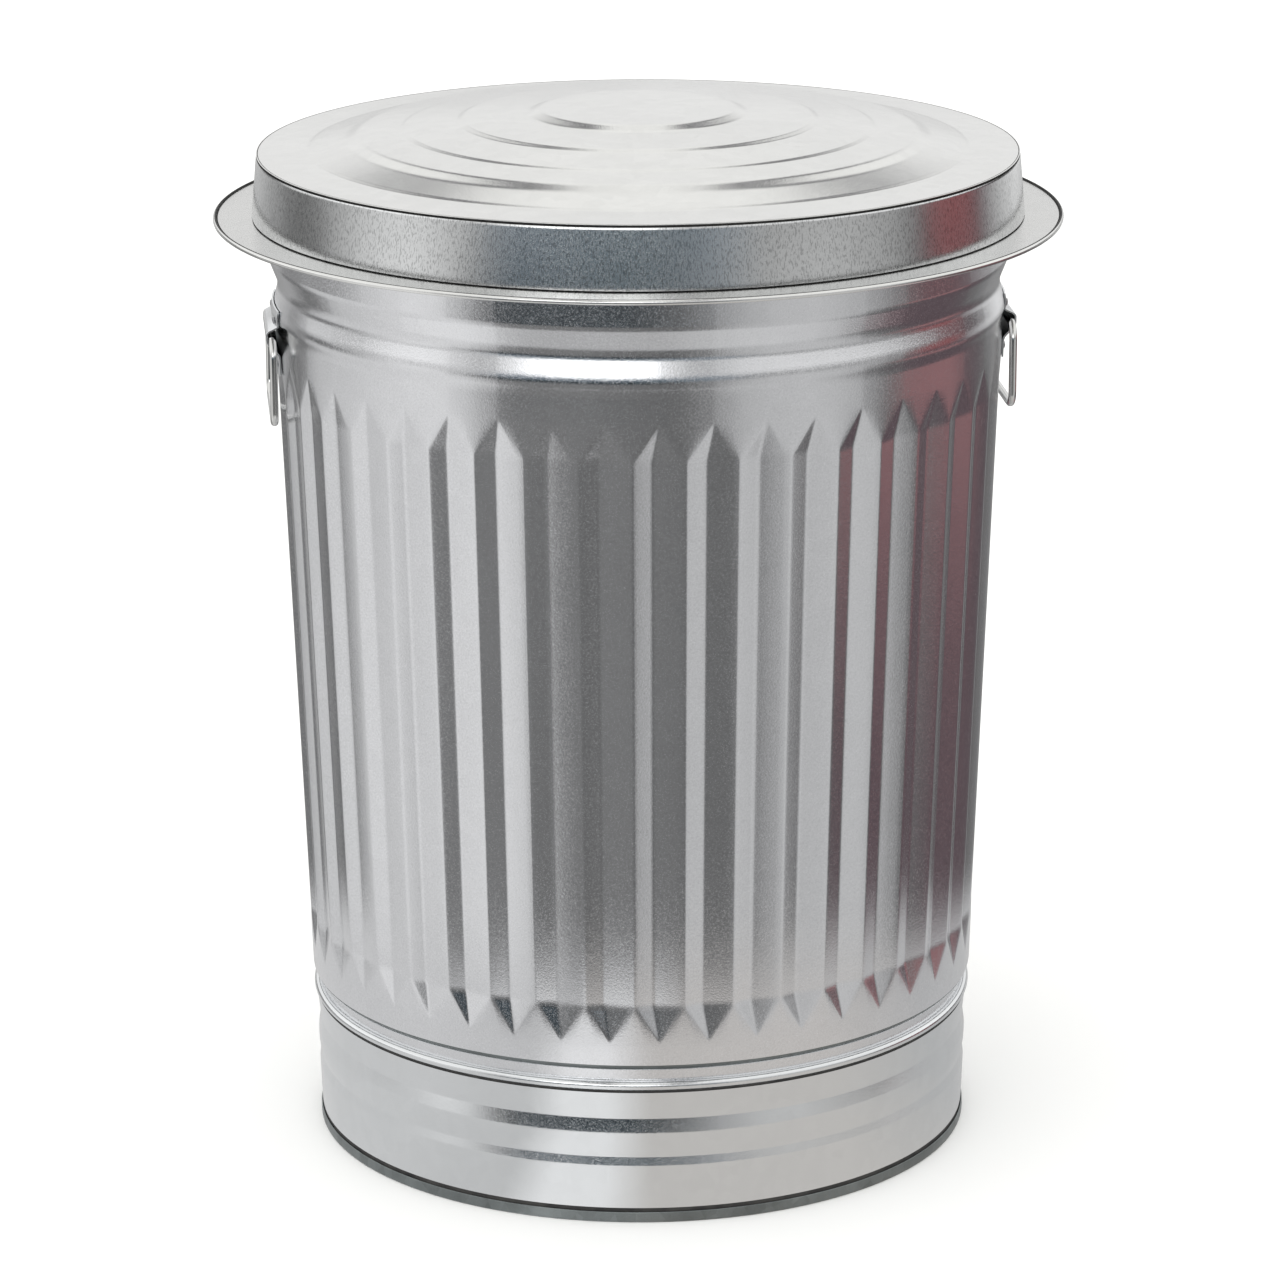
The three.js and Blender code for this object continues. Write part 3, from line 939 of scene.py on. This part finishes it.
HORIZON = [
    (-180, 0.8), (-158, 0.55), (-148, 0.15), (-136, 0.22), (-124, 0.8), (-98, 0.5), (-80, 0.74),
    (-60, 0.68), (-51, 0.6), (-39, BLUE_LIGHT), (-12, BLUE), (6, BLUE), (24, BLUE_LIGHT), (36, 0.38),
    (60, 0.46), (80, 0.36), (94, 0.24), (118, WARM_DARK), (138, 0.07), (150, 0.25), (162, 0.55),
    (180, 0.85),
]
ABOVE = [
    (-180, 0.92), (-150, 1.0), (-120, 1.2), (-66, 1.1), (-58, 0.8), (-50, 0.5), (-44, 0.7),
    (-36, 1.3), (-27, 2.4), (-2, 2.4), (8, 1.0), (16, 0.5), (24, 0.6), (31, 0.82), (90, 0.95),
    (120, 1.2), (150, 1.0), (180, 0.92),
]

# The lowest and highest direction, as its Z, between which each layer takes over from the one below
LAYERS = [
    (-0.70, -0.62, FAR), (-0.22, -0.15, LEVEL), (-0.07, -0.045, HORIZON), (0.06, 0.14, ABOVE),
]

# Something dull red in the studio: its first and last direction, its low and high end, its colour
RED_PATCHES = [((92, 118, -0.275, -0.23), RED), ((98, 114, -0.115, 0.0), DARK_RED)]
PATCH_SIDE_FADE = 8                   # degrees
PATCH_END_FADE = 0.03

# The ceiling is white, with a dark gap to each side of its middle panel
CEILING_FADE = (0.30, 0.56)
CEILING_WHITE = (1.04, 1.04, 1.03, 1)
GAP_DARK = (0.2, 0.2, 0.21, 1)
GAP_INNER = (0.11, 0.15)
GAP_OUTER = (0.19, 0.26)

PLAIN_WHITE = (1, 1, 0.99, 1)
PLAIN_LIGHT = 1.16


def window(tree, value, low, high, soft):
    """1 between two ends, fading to 0 within a soft edge outside each."""
    rise = mapped(tree, value, low - soft, low)
    fall = mapped(tree, value, high, high + soft)
    return math_node(tree, "SUBTRACT", rise, fall)


def with_patch(tree, shade, azimuth, height, place, colour):
    """The shade with a patch of colour between two directions, in degrees, and two heights."""
    left, right, low, high = place
    across = window(tree, azimuth, turn_share(left), turn_share(right), PATCH_SIDE_FADE / 360)
    upward = window(tree, height, low, high, PATCH_END_FADE)
    return blended(tree, math_node(tree, "MULTIPLY", across, upward), shade, (*colour, 1))


def with_ceiling(tree, shade, parts):
    """The shade with the ceiling over it."""
    aside = math_node(tree, "ABSOLUTE", parts["X"])
    inner = mapped(tree, aside, *GAP_INNER, smooth=True)
    outer = math_node(tree, "SUBTRACT", 1.0, mapped(tree, aside, *GAP_OUTER, smooth=True))
    gap = math_node(tree, "MULTIPLY", inner, outer)
    ceiling = blended(tree, gap, CEILING_WHITE, GAP_DARK)
    return blended(tree, mapped(tree, parts["Z"], *CEILING_FADE, smooth=True), shade, ceiling)


def make_world():
    """Plain white light for all but reflections, which see a studio of soft panels."""
    world = bpy.data.worlds.new("studio")
    bpy.context.scene.world = world
    world.use_nodes = True
    world.cycles.sampling_method = "NONE"
    tree = world.node_tree
    tree.nodes.clear()
    direction = add_node(tree, "ShaderNodeTexCoord").outputs["Generated"]
    azimuth, parts = studio_azimuth(tree, direction)
    shade = ramp(tree, azimuth, UNDER)
    for low, high, stops in LAYERS:
        shade = blended(tree, mapped(tree, parts["Z"], low, high), shade, ramp(tree, azimuth, stops))
    for place, colour in RED_PATCHES:
        shade = with_patch(tree, shade, azimuth, parts["Z"], place, colour)
    shade = with_ceiling(tree, shade, parts)

    studio = add_node(tree, "ShaderNodeBackground", {0: shade, 1: 1.0})
    plain = add_node(tree, "ShaderNodeBackground", {0: PLAIN_WHITE, 1: PLAIN_LIGHT})
    glossy = add_node(tree, "ShaderNodeLightPath").outputs["Is Glossy Ray"]
    both = add_node(tree, "ShaderNodeMixShader", {0: glossy, 1: plain.outputs[0], 2: studio.outputs[0]})
    output = tree.nodes.new("ShaderNodeOutputWorld")
    tree.links.new(both.outputs[0], output.inputs[0])


SOFT_BROWN = (0.64, 0.615, 0.59)

# The floor near the can, as reflections see it: even, with a bright streak at its front and rear
NEAR_FLOOR = [
    (-180, 0.95), (-168, 0.8), (-150, 0.66), (-60, 0.7), (-28, 0.64), (-19, 0.95), (-8, 0.95),
    (2, SOFT_BROWN), (50, SOFT_BROWN), (90, 0.54), (125, 0.56), (160, 0.66), (180, 0.95),
]
NEAR_FLOOR_REACH = 0.50
NEAR_FLOOR_END = 0.63


def make_floor_glow():
    """A glowing disc of floor that only reflections see: it fades out beyond its reach."""
    material = bpy.data.materials.new("floor_glow")
    material.use_nodes = True
    tree = material.node_tree
    tree.nodes.clear()
    place = add_node(tree, "ShaderNodeTexCoord").outputs["Object"]
    azimuth, _ = studio_azimuth(tree, place)
    shade = ramp(tree, azimuth, NEAR_FLOOR)
    glow = add_node(tree, "ShaderNodeEmission", {"Color": shade, "Strength": 1.0})
    clear = add_node(tree, "ShaderNodeBsdfTransparent")
    away = add_node(tree, "ShaderNodeVectorMath", {0: place}, operation="LENGTH").outputs["Value"]
    fade = mapped(tree, away, NEAR_FLOOR_REACH, NEAR_FLOOR_END, smooth=True)
    mix = add_node(tree, "ShaderNodeMixShader", {0: fade, 1: glow.outputs[0], 2: clear.outputs[0]})
    output = tree.nodes.new("ShaderNodeOutputMaterial")
    tree.links.new(mix.outputs[0], output.inputs[0])
    card = stage_square("floor_glow", GLOW_HALF, GLOW_HEIGHT, material)
    card.visible_camera = False
    card.visible_diffuse = False
    card.visible_shadow = False


SUN_STRENGTH = 0.5
SUN_WIDTH = math.radians(50)
SUN_LEAN = (math.radians(20), math.radians(-15), 0)


def make_sun():
    """One wide soft light from above, a little to the left and the front, for a faint shadow."""
    data = bpy.data.lights.new("soft_sun", "SUN")
    data.energy = SUN_STRENGTH
    data.angle = SUN_WIDTH
    sun = bpy.data.objects.new("soft_sun", data)
    bpy.context.scene.collection.objects.link(sun)
    sun.rotation_euler = SUN_LEAN
    sun.visible_glossy = False


# ---------- the scene ----------

make_camera()
make_floor()
make_floor_glow()
make_world()
make_sun()
bpy.context.scene.view_settings.view_transform = "Standard"

wall = make_body()
rising_wall = [point for point in wall if point[1] < RIM_CENTRE[1]]
make_seam(rising_wall)
make_band()
make_pan()
make_foot_ring()
make_ring_wire("rim_core_wire", *RIM_CENTRE, RIM_WIRE, "can", "rim_wire")
make_lid()
for side, turn in (("right", 0.0), ("left", math.pi)):
    make_bracket(side, rising_wall, turn)
    make_bail(side, turn)
    for row in RIVET_HEIGHTS:
        for place in ("front", "rear"):
            make_rivet(side, row, place, rising_wall, turn)
